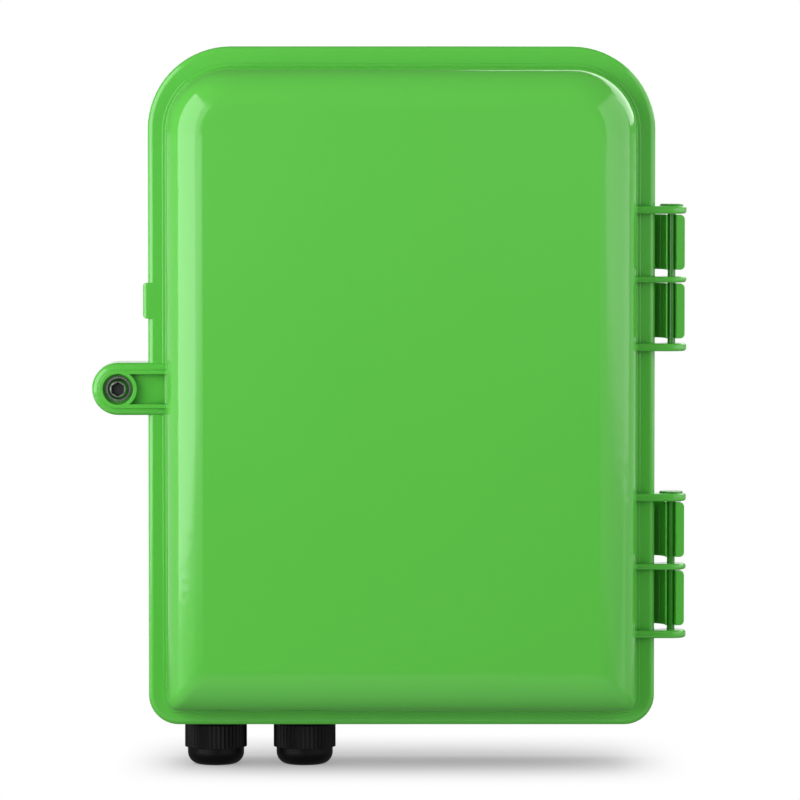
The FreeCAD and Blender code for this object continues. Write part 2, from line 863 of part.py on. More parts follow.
def make_adapter_panel():
    """The bracket that holds the adapters: a plate on a foot, with a cut-out for each."""
    x = panel_plate_width / 2.0
    z = panel_plate_height
    back = -panel_plate_back
    plate = block(-x, x, back, -panel_plate_front, z, z - panel_plate_thick)
    foot = block(-x, x, back, back - panel_plate_thick, z - panel_plate_thick, z + panel_foot)
    panel = plate.fuse(foot)
    cuts = []
    half_x = adapter_wide / 2.0 + adapter_fit
    half_y = adapter_deep / 2.0 + adapter_fit
    centre_y = -adapter_depth_centre
    for place in adapter_places():
        side_to_side = (place - half_x, place + half_x)
        back_to_front = (centre_y + half_y, centre_y - half_y)
        cuts.append(block(*side_to_side, *back_to_front, z - panel_plate_thick - past, z + past))
    for screw_x, screw_z in panel_screw_places():
        cuts.append(rod_y(screw_way, screw_x, screw_z, back + past, back - panel_plate_thick - past))
    return panel.cut(cuts).removeSplitter()


def adapter_places():
    """The adapters' places across the panel."""
    first = -(adapter_count - 1) * adapter_pitch / 2.0
    return [first + step * adapter_pitch for step in range(adapter_count)]


def make_adapter(x):
    """One push-pull adapter: a square body, a flange and a socket at each end."""
    y = -adapter_depth_centre
    z = panel_plate_height
    half_x = adapter_wide / 2.0
    half_y = adapter_deep / 2.0
    half_z = adapter_long / 2.0
    body = block(x - half_x, x + half_x, y - half_y, y + half_y, z - half_z, z + half_z)
    half_flange = adapter_flange_deep / 2.0
    flange_top = z + adapter_flange_thick
    flange = block(x - half_x, x + half_x, y - half_flange, y + half_flange, z, flange_top)
    adapter = body.fuse(flange)
    inner_x = half_x - adapter_wall
    inner_y = half_y - adapter_wall
    key_x = adapter_key_wide / 2.0
    cuts = []
    for end in (-1, 1):
        mouth_z = z + end * half_z
        floor_z = mouth_z - end * adapter_socket_depth
        cuts.append(block(x - inner_x, x + inner_x, y - inner_y, y + inner_y, mouth_z, floor_z))
        key_z = mouth_z - end * adapter_key_long
        cuts.append(block(x - key_x, x + key_x, y - half_y - past, y, mouth_z, key_z))
    adapter = adapter.cut(cuts)
    sleeve = rod_z(sleeve_radius, x, y, z - sleeve_length / 2.0, z + sleeve_length / 2.0)
    return adapter.fuse(sleeve).removeSplitter()


def make_cable_clamp(x):
    """A saddle that holds the cable above one gland."""
    back = base_inside_y - clamp_post_height
    half = clamp_width / 2.0
    low = clamp_height - clamp_tall / 2.0
    high = clamp_height + clamp_tall / 2.0
    bar = block(x - half, x + half, back, back - clamp_thick, low, high)
    arch = rod_z(clamp_arch + clamp_thick, x, back, low, high)
    front = block(x - half, x + half, back, back - clamp_arch - clamp_thick, low, high)
    saddle = bar.fuse(arch.common(front)).cut(rod_z(clamp_arch, x, back, low, high))
    holes = []
    for side in (-1, 1):
        hole_x = x + side * clamp_screw_across / 2.0
        holes.append(rod_y(screw_way, hole_x, clamp_height, back + past, back - clamp_thick - past))
    return saddle.cut(holes).removeSplitter()


def clamp_screw_places():
    """The places of the screws in both cable clamps."""
    places = []
    for x in gland_places:
        for side in (-1, 1):
            places.append((x + side * clamp_screw_across / 2.0, clamp_height))
    return places


def panel_screw_places():
    """The places of the adapter panel's two screws."""
    z = panel_plate_height + panel_foot / 2.0
    return [(-panel_screw_across / 2.0, z), (panel_screw_across / 2.0, z)]


def main():
    """Make every piece and write it out."""
    os.makedirs(OUT, exist_ok=True)
    export(make_base_shell(), "base_shell")
    export(make_front_cover(), "front_cover")
    export(make_cover_gasket(), "cover_gasket")
    export(make_hinge_rod(hinge_tops[0]), "hinge_rod_upper")
    export(make_hinge_rod(hinge_tops[1]), "hinge_rod_lower")
    export(make_lock_bolt(), "lock_bolt")
    export(make_lock_washer(), "lock_washer")
    export(make_lock_retainer(), "lock_retainer")
    export(make_lock_insert(), "lock_insert")
    for x, side in zip(gland_places, ("left", "right")):
        export(make_gland_washer(x), "gland_washer_" + side)
        export(make_gland_body(x), "gland_body_" + side)
        export(make_gland_nut(x), "gland_nut_" + side)
        export(make_gland_seal(x), "gland_seal_" + side)
        export(make_gland_locknut(x), "gland_locknut_" + side)
        export(make_cable_clamp(x), "cable_clamp_" + side)
    clamp_y = base_inside_y - clamp_post_height - clamp_thick
    export(make_screws(clamp_screw_places(), clamp_y), "clamp_screws")
    export(make_splice_tray(), "splice_tray")
    export(make_tray_lid(), "splice_tray_lid")
    tray_places = post_places(tray_post_across, tray_post_up, tray_centre_z)
    export(make_screws(tray_places, tray_y - tray_wall), "tray_screws")
    export(make_adapter_panel(), "adapter_panel")
    export(make_screws(panel_screw_places(), -panel_plate_back - panel_plate_thick), "panel_screws")
    for number, x in enumerate(adapter_places(), start=1):
        export(make_adapter(x), "adapter_%d" % number)


main()
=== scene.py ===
"""Finishes, threads, small screws and studio for a wall-mounted fibre cross-connect box."""

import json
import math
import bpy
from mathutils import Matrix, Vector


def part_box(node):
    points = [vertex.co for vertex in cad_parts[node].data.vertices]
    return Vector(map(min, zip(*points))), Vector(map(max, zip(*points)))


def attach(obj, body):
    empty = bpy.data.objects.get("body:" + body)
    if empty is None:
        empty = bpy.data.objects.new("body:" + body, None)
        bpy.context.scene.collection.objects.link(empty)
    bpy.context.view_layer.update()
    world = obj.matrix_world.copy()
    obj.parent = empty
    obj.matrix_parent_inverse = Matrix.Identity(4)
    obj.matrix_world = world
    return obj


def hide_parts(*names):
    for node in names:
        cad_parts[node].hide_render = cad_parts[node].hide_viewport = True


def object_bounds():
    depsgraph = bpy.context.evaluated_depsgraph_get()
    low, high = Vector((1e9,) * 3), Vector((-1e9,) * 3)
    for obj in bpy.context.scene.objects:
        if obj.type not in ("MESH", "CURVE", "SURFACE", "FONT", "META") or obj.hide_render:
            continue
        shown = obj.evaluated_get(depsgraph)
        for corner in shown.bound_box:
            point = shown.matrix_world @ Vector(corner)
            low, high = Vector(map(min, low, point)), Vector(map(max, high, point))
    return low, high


bl_info = {
    "name": "Fibre cross-connect box",
    "version": (1, 0, 0),
    "blender": (4, 5, 0),
    "location": "View3D > Sidebar > Fibre Box",
    "description": "Dresses the packed wall box with its finishes, threads, small screws and studio",
    "category": "Object",
}

import bmesh
import bpy
from mathutils import Vector

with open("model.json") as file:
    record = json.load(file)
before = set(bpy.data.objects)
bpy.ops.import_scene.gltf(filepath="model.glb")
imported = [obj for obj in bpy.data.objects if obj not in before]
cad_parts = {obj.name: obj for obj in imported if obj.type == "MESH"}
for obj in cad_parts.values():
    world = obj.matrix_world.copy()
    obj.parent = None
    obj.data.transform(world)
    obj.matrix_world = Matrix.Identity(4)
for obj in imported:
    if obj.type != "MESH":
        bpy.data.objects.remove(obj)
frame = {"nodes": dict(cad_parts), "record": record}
cad_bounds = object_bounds()

MM = 0.001
AREA_LAMP_SPREAD = math.pi
WHITE = (1.0, 1.0, 1.0, 1.0)

# Flat sides in one turn of the lock bolt and of a gland's thread
BOLT_STEPS = 96
GLAND_STEPS = 72

# How the gland's thread sits on its body, under the washer's edge and above the locknut
GLAND_WASHER_OVERHANG = 2.6 * MM
GLAND_NUT_GAP = 0.2 * MM
GLAND_THREAD_INSET = 0.4 * MM

# The studio: each screen's name, place, size, brightness setting and the way it faces
SCREENS = (
    ("left_screen", (-0.85, -1.01, 0.41), (1.72, 1.14), "key_strength", (1, 0, 0)),
    ("front_left_screen", (-0.6, -1.94, 0.29), (1.22, 0.82), "front_strength", (1, 0, 0)),
    ("right_screen", (1.8, -2.28, 0.81), (5.35, 1.94), "right_strength", (-1, 0, 0)),
    ("back_screen", (0.33, 0.3, 0.31), (0.66, 0.34), "back_strength", None),
)
FLOOR_HALF = 12.0
FLOOR_LEVEL = 0.42
# How far and how dark the painted shadow on the floor reaches
PAINTED_SHADOW_REACH = 0.09
PAINTED_SHADOW_STRENGTH = 0.97
ROOM_BEHIND = 0.18


def linear(colour):
    """A display colour as the linear values that shaders take."""
    parts = []
    for part in colour[:3]:
        parts.append(part / 12.92 if part <= 0.04045 else ((part + 0.055) / 1.055) ** 2.4)
    return tuple(parts)


def slot_colour(slot):
    """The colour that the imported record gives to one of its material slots."""
    for entry in frame["record"]["materials"]:
        if entry["slot"] == slot:
            return linear(entry["base_color"])
    raise ValueError("the record has no material slot " + slot)


# Shader maths


class Signal:
    """A value socket in a node tree, so that sums on it are written as plain Python."""

    def __init__(self, bench, socket):
        self.bench = bench
        self.socket = socket

    def math(self, operation, *values):
        node = self.bench.add("ShaderNodeMath", {"operation": operation}, dict(enumerate(values)))
        return Signal(self.bench, node.outputs[0])

    def __add__(self, other):
        return self.math("ADD", self, other)

    def __radd__(self, other):
        return self.math("ADD", other, self)

    def __sub__(self, other):
        return self.math("SUBTRACT", self, other)

    def __rsub__(self, other):
        return self.math("SUBTRACT", other, self)

    def __mul__(self, other):
        return self.math("MULTIPLY", self, other)

    def __rmul__(self, other):
        return self.math("MULTIPLY", other, self)

    def step_between(self, low, high):
        """Goes smoothly from 0 at low to 1 at high."""
        settings = {"interpolation_type": "SMOOTHSTEP"}
        node = self.bench.add("ShaderNodeMapRange", settings, {"Value": self, 1: low, 2: high})
        return Signal(self.bench, node.outputs[0])


class Bench:
    """A node tree under construction."""

    def __init__(self, tree):
        self.tree = tree
        tree.nodes.clear()

    def add(self, kind, settings=None, sockets=None):
        """One node: its settings first, then a value or a link for each socket named."""
        node = self.tree.nodes.new(kind)
        for name, value in (settings or {}).items():
            setattr(node, name, value)
        for name, value in (sockets or {}).items():
            self.feed(node.inputs[name], value)
        return node

    def feed(self, socket, value):
        """Links a signal or a socket, or sets a plain value."""
        if isinstance(value, Signal):
            self.tree.links.new(value.socket, socket)
        elif isinstance(value, bpy.types.NodeSocket):
            self.tree.links.new(value, socket)
        else:
            socket.default_value = value

    def signal(self, node, output=0):
        return Signal(self, node.outputs[output])

    def mix_colour(self, factor, low, high):
        """A colour between two colours."""
        sockets = {"Factor": factor, 6: low, 7: high}
        return self.add("ShaderNodeMix", {"data_type": "RGBA"}, sockets).outputs[2]


class Finish(Bench):
    """A material with one Principled shader, in the object's own coordinates."""

    def __init__(self, name, **sockets):
        self.material = bpy.data.materials.new(name)
        self.material.use_nodes = True
        super().__init__(self.material.node_tree)
        output = self.add("ShaderNodeOutputMaterial")
        self.shader = self.add("ShaderNodeBsdfPrincipled")
        self.feed(output.inputs["Surface"], self.shader.outputs[0])
        self.place = self.add("ShaderNodeTexCoord").outputs["Object"]
        for socket, value in sockets.items():
            self.feed(self.shader.inputs[socket.replace("_", " ")], value)

    def noise(self, scale, detail=2.0, stretch=None):
        """Soft noise from 0 to 1, with its scale in cycles to the metre."""
        place = self.place
        if stretch:
            sockets = {0: place, 1: stretch}
            place = self.add("ShaderNodeVectorMath", {"operation": "MULTIPLY"}, sockets).outputs[0]
        sockets = {"Vector": place, "Scale": scale, "Detail": detail}
        return self.signal(self.add("ShaderNodeTexNoise", None, sockets))

    def colour(self, factor, low, high):
        """Base colour between two tones."""
        tone = self.mix_colour(factor, (*low, 1.0), (*high, 1.0))
        self.feed(self.shader.inputs["Base Color"], tone)

    def rough(self, value):
        self.feed(self.shader.inputs["Roughness"], value)

    def relief(self, height, depth, edge=0.0):
        """Fine relief of this depth in metres, over edges softened by a small radius."""
        sockets = {"Height": height, "Distance": depth, "Strength": 1.0}
        if edge:
            bevel = self.add("ShaderNodeBevel", {"samples": 6}, {"Radius": edge})
            sockets["Normal"] = bevel.outputs[0]
        bump = self.add("ShaderNodeBump", None, sockets)
        self.feed(self.shader.inputs["Normal"], bump.outputs[0])


def toned(colour, factor):
    """The same colour, lighter or darker."""
    return tuple(min(1.0, part * factor) for part in colour)


def moulded_green(name, green):
    """Smooth moulded plastic: glossy, with a trace of orange peel, and painted shade: a deeper, darker
    green in recesses.
    """
    finish = Finish(name, Specular_IOR_Level=0.62, IOR=1.5)
    flow = finish.noise(9.0, 3.0) * 0.8 + finish.noise(260.0, 2.0) * 0.2
    skin = finish.mix_colour(flow, (*toned(green, 0.975), 1.0), (*toned(green, 1.025), 1.0))
    # Painted shade: where ambient occlusion within 12 mm of the object's own surfaces is high, the base
    # colour turns to a darker green.
    settings = {"samples": 12, "only_local": True}
    around = finish.add("ShaderNodeAmbientOcclusion", settings, {"Distance": 0.012})
    recess = 1.0 - finish.signal(around, 1).step_between(0.12, 0.56)
    shade = (green[0] * 0.12, green[1] * 0.4, green[2] * 0.1, 1.0)
    finish.feed(finish.shader.inputs["Base Color"], finish.mix_colour(recess, skin, shade))
    finish.rough(0.1 + finish.noise(34.0) * 0.03)
    finish.relief(finish.noise(420.0, 1.0), 0.000012, edge=0.0004)
    return finish.material


def gloss_green(colours):
    """The green of the base and the cover."""
    green = colours.green
    return moulded_green("gloss_green_plastic", (green[0] * 1.03, green[1], green[2] * 0.9))


def rod_green_painted_shade(colours):
    """The housing green made deeper and darker for the hinge rods: painted shade for the shadow of their
    clips.
    """
    green = colours.green
    return moulded_green("rod_painted_shade_green_plastic", (green[0] * 0.3, green[1] * 0.55, green[2] * 0.2))


def black_nylon(colours):
    """Glass-filled nylon: nearly black, with a fine dry grain."""
    finish = Finish("black_nylon", Specular_IOR_Level=0.2)
    grain = finish.noise(1900.0, 3.0)
    mottle = grain * 0.5 + finish.noise(120.0) * 0.5
    finish.colour(mottle, toned(colours.nylon, 0.3), toned(colours.nylon, 0.7))
    finish.rough(0.34 + grain * 0.12)
    finish.relief(grain, 0.00002, edge=0.00025)
    return finish.material


def seal_rubber(colours):
    """Soft moulded rubber with dust in its pores."""
    finish = Finish("seal_rubber", Specular_IOR_Level=0.35)
    pores = finish.noise(1400.0, 4.0)
    finish.colour(pores, toned(colours.rubber, 0.7), toned(colours.rubber, 1.5))
    finish.rough(0.66 + pores * 0.2)
    finish.relief(pores, 0.00003, edge=0.0002)
    return finish.material


def white_nylon(colours):
    """Natural nylon: milky, a little see-through, with a soft sheen."""
    finish = Finish("white_nylon", Specular_IOR_Level=0.45)
    cloud = finish.noise(160.0, 3.0)
    finish.colour(cloud, toned(colours.white, 0.93), toned(colours.white, 1.0))
    finish.rough(0.38 + cloud * 0.1)
    finish.relief(finish.noise(900.0), 0.00001, edge=0.0002)
    return finish.material


def zinc_steel(colours):
    """Zinc-plated steel: turned, with a faint warm cast and dull spots."""
    finish = Finish("zinc_steel", Metallic=1.0)
    cast = finish.noise(420.0, 3.0)
    spots = finish.noise(2600.0, 2.0).step_between(0.52, 0.72)
    warm = (colours.zinc[0] * 1.04, colours.zinc[1], colours.zinc[2] * 0.93)
    finish.colour(cast * 0.8 + spots * 0.2, toned(colours.zinc, 0.82), warm)
    finish.rough(0.24 + cast * 0.08 + spots * 0.14)
    finish.relief(finish.noise(5200.0, 1.0, stretch=(1.0, 0.2, 1.0)), 0.000008, edge=0.0001)
    return finish.material


def socket_painted_shade(colours):
    """The inside of the bolt's socket: steel darkened nearly to black as painted shade in the hollow,
    with a faint mottle.
    """
    finish = Finish("socket_painted_shade", Metallic=0.6, Specular_IOR_Level=0.4)
    socket_mottle = finish.noise(1500.0, 4.0)
    finish.colour(socket_mottle, toned(colours.zinc, 0.06), toned(colours.zinc, 0.2))
    finish.rough(0.36 + socket_mottle * 0.25)
    finish.relief(socket_mottle, 0.00003)
    return finish.material


def turned_brass(colours):
    """Turned brass, a little tarnished."""
    finish = Finish("turned_brass", Metallic=1.0)
    tarnish = finish.noise(700.0, 4.0)
    finish.colour(tarnish, toned(colours.brass, 0.75), colours.brass)
    finish.rough(0.26 + tarnish * 0.16)
    finish.relief(finish.noise(6000.0, 1.0), 0.00001)
    return finish.material


def tray_plastic(colours):
    """Satin moulded plastic with a fine spark texture."""
    finish = Finish("tray_plastic", Specular_IOR_Level=0.5)
    spark = finish.noise(2400.0, 2.0)
    finish.colour(finish.noise(60.0, 3.0), toned(colours.tray, 0.9), toned(colours.tray, 1.12))
    finish.rough(0.42 + spark * 0.1)
    finish.relief(spark, 0.00002, edge=0.0003)
    return finish.material


def clear_lid(colours):
    """Clear plastic sheet with faint rubbing marks."""
    finish = Finish("clear_lid", IOR=1.49, Transmission_Weight=0.92)
    marks = finish.noise(300.0, 4.0, stretch=(1.0, 1.0, 0.12)).step_between(0.5, 0.75)
    finish.colour(marks, colours.lid, toned(colours.lid, 0.96))
    finish.rough(0.04 + marks * 0.1)
    finish.relief(marks, 0.000004)
    return finish.material


def powder_coat(colours):
    """Powder-coated sheet steel with its pebbled skin."""
    finish = Finish("powder_coat", Specular_IOR_Level=0.5)
    pebble = finish.noise(1300.0, 1.0)
    finish.colour(finish.noise(45.0), toned(colours.coat, 0.96), toned(colours.coat, 1.0))
    finish.rough(0.4 + pebble * 0.12)
    finish.relief(pebble, 0.00003, edge=0.0002)
    return finish.material


def adapter_plastic(colours):
    """Coloured adapter plastic with a satin skin."""
    finish = Finish("adapter_plastic", Specular_IOR_Level=0.5)
    skin = finish.noise(1600.0, 2.0)
    finish.colour(finish.noise(200.0, 3.0), toned(colours.adapter, 0.9), toned(colours.adapter, 1.1))
    finish.rough(0.3 + skin * 0.12)
    finish.relief(skin, 0.000012, edge=0.0002)
    return finish.material


FINISHES = {
    "green_plastic": gloss_green,
    "hinge_rod": rod_green_painted_shade,
    "black_nylon": black_nylon,
    "seal_rubber": seal_rubber,
    "white_nylon": white_nylon,
    "zinc_steel": zinc_steel,
    "socket_painted_shade": socket_painted_shade,
    "insert_brass": turned_brass,
    "tray_plastic": tray_plastic,
    "clear_lid": clear_lid,
    "panel_steel": powder_coat,
    "adapter_blue": adapter_plastic,
}
made_finishes = {}


def finish_for(slot, context):
    """The material of one slot, made when it is first asked for."""
    if slot not in made_finishes:
        made_finishes[slot] = FINISHES[slot](context.scene.box_colours)
    return made_finishes[slot]


def node_slot(name):
    """The material slot that the record gives to a node."""
    for entry in frame["record"]["subparts"]:
        if entry["node"] == name:
            return entry["material_slot"]
    raise ValueError("the record lists no node " + name)


def dress(names, context, finish=None):
    """Gives each of these nodes the finish named, or else that of its slot."""
    for name in names:
        slots = frame["nodes"][name].data.materials
        slots.clear()
        slots.append(finish_for(finish or node_slot(name), context))


# Turned pieces, threads and screws


def ring_of(bm, radius, height, steps):
    """One ring of points; the radius may depend on the angle and the height."""
    ring = []
    for step in range(steps):
        angle = 2.0 * math.pi * step / steps
        reach = radius(angle, height) if callable(radius) else radius
        ring.append(bm.verts.new((reach * math.cos(angle), reach * math.sin(angle), height)))
    return ring


def close_end(bm, ring, height, outward):
    """Closes a turned form's end with a fan to its axis."""
    tip = bm.verts.new((0.0, 0.0, height))
    for index, vert in enumerate(ring):
        after = ring[(index + 1) % len(ring)]
        corners = (vert, after, tip) if outward else (after, vert, tip)
        bm.faces.new(corners)


def turned_form(bm, rows, steps):
    """A closed turned form from rows of radius and height, from its tip to its top."""
    rings = [ring_of(bm, radius, height, steps) for radius, height in rows]
    for low, high in zip(rings, rings[1:]):
        for index in range(steps):
            after = (index + 1) % steps
            bm.faces.new((low[index], low[after], high[after], high[index]))
    close_end(bm, rings[0], rows[0][1], outward=False)
    close_end(bm, rings[-1], rows[-1][1], outward=True)
    return [vert for ring in rings for vert in ring]


def thread_radius(crest, pitch, depth):
    """The radius of a screw thread by angle and height."""

    def radius(angle, height):
        turn = (height / pitch - angle / (2.0 * math.pi)) % 1.0
        slope = 1.0 - abs(2.0 * turn - 1.0)
        return crest - depth * min(1.0, max(0.0, 1.35 * slope - 0.15))

    return radius


def thread_rows(crest, pitch, depth, low, high, rows_per_turn=8):
    """Rows of a threaded length."""
    radius = thread_radius(crest, pitch, depth)
    count = max(2, int(round((high - low) / pitch * rows_per_turn)))
    return [(radius, low + (high - low) * step / count) for step in range(count + 1)]


def hexagon_radius(flats):
    """The radius of a hexagon by angle."""

    def radius(angle, _):
        side = (angle + math.pi / 6.0) % (math.pi / 3.0) - math.pi / 6.0
        return flats / 2.0 / math.cos(side)

    return radius


def cross_depth(x, y, half_long, half_wide, depth):
    """How deep a cross recess is at a point of a screw's head."""
    along = max(abs(x), abs(y))
    across = min(abs(x), abs(y))
    if along > half_long:
        return 0.0
    wall = (half_wide - across) / (half_wide * 0.35)
    tip = (half_long - along) / (half_long * 0.35)
    return depth * max(0.0, min(1.0, wall, tip))


def piece_from(bm, name, body, slot, context, sharp_degrees=32.0):
    """Links a mesh as a named piece that rides on a body."""
    bmesh.ops.recalc_face_normals(bm, faces=bm.faces)
    mesh = bpy.data.meshes.new(name)
    bm.to_mesh(mesh)
    bm.free()
    for polygon in mesh.polygons:
        polygon.use_smooth = True
    mesh.set_sharp_from_angle(angle=math.radians(sharp_degrees))
    mesh.materials.append(finish_for(slot, context))
    piece = bpy.data.objects.new(name, mesh)
    context.scene.collection.objects.link(piece)
    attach(piece, body)
    return piece


def solid_boxes(name):
    """The lowest and highest corners of each separate solid in a node."""
    bm = bmesh.new()
    bm.from_mesh(frame["nodes"][name].data)
    bmesh.ops.remove_doubles(bm, verts=bm.verts, dist=0.01 * MM)
    boxes = []
    seen = set()
    for start in bm.verts:
        if start in seen:
            continue
        seen.add(start)
        group = [start]
        for vert in group:
            for edge in vert.link_edges:
                other = edge.other_vert(vert)
                if other not in seen:
                    seen.add(other)
                    group.append(other)
        low = Vector([min(vert.co[axis] for vert in group) for axis in range(3)])
        high = Vector([max(vert.co[axis] for vert in group) for axis in range(3)])
        boxes.append((low, high))
    bm.free()
    return sorted(boxes, key=lambda pair: (round(pair[0].z, 4), pair[0].x))


def face_front(verts, x, y, z):
    """Turns points made about the upright axis so that their top faces the front, at this place."""
    for vert in verts:
        vert.co = Vector((x + vert.co.x, y - vert.co.z, z + vert.co.y))


def pan_head_screw(bm, low, high, sizes):
    """A pan-head screw with a cross recess and a thread, in the space of its solid."""
    radius = (high.x - low.x) / 2.0
    head = sizes.head_thick
    seat = low.y + head
    length = high.y - seat
    shank = sizes.shank_radius
    rows = [(shank * 0.45, -length), (shank * 0.8, -length + shank * 0.5)]
    rows += thread_rows(shank, sizes.thread_pitch, sizes.thread_depth, -length + shank, 0.0)
    rows += [(radius * 0.97, 0.0), (radius, head * 0.12), (radius, head * 0.45)]
    rows += [(radius * 0.95, head * 0.72), (radius * 0.84, head * 0.9), (radius * 0.72, head)]
    for share in (0.64, 0.56, 0.48, 0.4, 0.32, 0.24, 0.16, 0.08):
        rows.append((radius * share, head))
    first = len(bm.verts)
    turned_form(bm, rows, sizes.round_steps)
    bm.verts.ensure_lookup_table()
    verts = bm.verts[first:]
    long_half = radius * sizes.recess_share
    for vert in verts:
        if vert.co.z > head - 0.001 * MM:
            depth = sizes.recess_depth
            vert.co.z -= cross_depth(vert.co.x, vert.co.y, long_half, long_half * 0.34, depth)
    face_front(verts, (low.x + high.x) / 2.0, seat, (low.z + high.z) / 2.0)


# Settings that a user would change


def colour_setting(name, slot, description):
    return bpy.props.FloatVectorProperty(
        name=name,
        description=description,
        size=3,
        subtype="COLOR",
        min=0.0,
        max=1.0,
        default=slot_colour(slot),
    )


def length_setting(name, default, description):
    return bpy.props.FloatProperty(
        name=name, description=description, default=default, min=0.0, subtype="DISTANCE", unit="LENGTH"
    )


def number_setting(name, default, description):
    return bpy.props.FloatProperty(name=name, description=description, default=default, subtype="FACTOR")


class BoxColours(bpy.types.PropertyGroup):
    """The colour of each finish."""

    green: colour_setting("Housing", "green_plastic", "Colour of the base, the cover and the hinge rods")
    nylon: colour_setting("Gland nylon", "black_nylon", "Colour of the cable glands")
    rubber: colour_setting("Seal rubber", "seal_rubber", "Colour of the gasket, washers and cable seals")
    white: colour_setting("White nylon", "white_nylon", "Colour of the clamps and the bolt's retainer")
    zinc: colour_setting("Zinc plate", "zinc_steel", "Colour of the screws, the bolt and its washer")
    brass: colour_setting("Brass", "insert_brass", "Colour of the threaded insert in the lock lug")
    tray: colour_setting("Splice tray", "tray_plastic", "Colour of the splice tray")
    lid: colour_setting("Tray lid", "clear_lid", "Tint of the clear lid")
    coat: colour_setting("Powder coat", "panel_steel", "Colour of the adapter bracket")
    adapter: colour_setting("Adapters", "adapter_blue", "Colour of the fibre adapters")


class ScrewSizes(bpy.types.PropertyGroup):
    """Sizes of the small screws, the lock bolt's details and the threads."""

    head_thick: length_setting("Head height", 1.8 * MM, "Height of a small screw's head")
    shank_radius: length_setting("Shank radius", 1.5 * MM, "Outer radius of a small screw's thread")
    thread_pitch: length_setting("Thread pitch", 1.0 * MM, "Pitch of a small screw's thread")
    thread_depth: length_setting("Thread depth", 0.32 * MM, "Depth of a small screw's thread")
    recess_depth: length_setting("Recess depth", 1.0 * MM, "Depth of the cross recess")
    recess_share: number_setting(
        "Recess width", 0.62, "Half width of the cross recess as a share of the head's radius"
    )
    bolt_radius: length_setting("Bolt radius", 3.0 * MM, "Outer radius of the lock bolt's thread")
    bolt_pitch: length_setting("Bolt pitch", 1.0 * MM, "Pitch of the lock bolt's thread")
    bolt_head_radius: length_setting("Bolt head radius", 4.6 * MM, "Radius of the lock bolt's flange")
    bolt_collar_radius: length_setting(
        "Bolt collar radius", 3.45 * MM, "Radius of the collar round the socket"
    )
    bolt_head_height: length_setting("Bolt head height", 4.0 * MM, "Height of the lock bolt's head")
    bolt_socket_flats: length_setting(
        "Bolt socket", 5.0 * MM, "Width across the flats of the lock bolt's socket"
    )
    bolt_socket_depth: length_setting("Socket depth", 3.2 * MM, "Depth of the lock bolt's socket")
    gland_pitch: length_setting("Gland pitch", 1.5 * MM, "Pitch of the gland's thread inside the base")
    gland_thread_height: length_setting(
        "Gland thread height", 0.3 * MM, "How far the gland's thread stands out"
    )
    round_steps: bpy.props.IntProperty(
        name="Round steps",
        description="Flat sides that make one turn of a small screw",
        default=48,
        min=12,
    )


class StudioSettings(bpy.types.PropertyGroup):
    """The camera and the lamps."""

    distance: length_setting("Camera distance", 2.8, "Distance from the camera to the cover's flange")
    tilt: bpy.props.FloatProperty(
        name="Camera tilt",
        description="How far the camera looks down",
        default=math.radians(3.5),
        subtype="ANGLE",
        unit="ROTATION",
    )
    view_width: length_setting("View width", 0.3473, "Width of the view at the cover's flange")
    aim: bpy.props.FloatVectorProperty(
        name="Aim",
        description="The point in the middle of the view",
        size=3,
        subtype="TRANSLATION",
        unit="LENGTH",
        default=(-0.00065, -0.066, -0.0058),
    )
    key_strength: number_setting("Left screen", 3.25, "Brightness of the screen at the left")
    front_strength: number_setting("Front screen", 1.7, "Brightness of the screen at the front left")
    right_strength: number_setting("Right screen", 1.35, "Brightness of the screen at the right")
    back_strength: number_setting("Back screen", 2.6, "Brightness of the screen behind the box")
    room_strength: number_setting("Room", 0.27, "Brightness of the room in front of the box")


# Operators, one for each piece or group of like pieces


class FIBREBOX_OT_housing(bpy.types.Operator):
    """Give the base, the cover and the hinge rods their glossy plastic"""

    bl_idname = "fibrebox.housing"
    bl_label = "Housing"

    def execute(self, context):
        dress(("base_shell", "front_cover"), context)
        # The hinge rods take a darker copy of the green, as painted shade.
        dress(("hinge_rod_upper", "hinge_rod_lower"), context, "hinge_rod")
        return {"FINISHED"}


class FIBREBOX_OT_seals(bpy.types.Operator):
    """Give the gasket, the gland washers and the cable seals their rubber"""

    bl_idname = "fibrebox.seals"
    bl_label = "Seals"

    def execute(self, context):
        dress(("cover_gasket", "gland_washer_left", "gland_washer_right"), context)
        dress(("gland_seal_left", "gland_seal_right"), context)
        return {"FINISHED"}


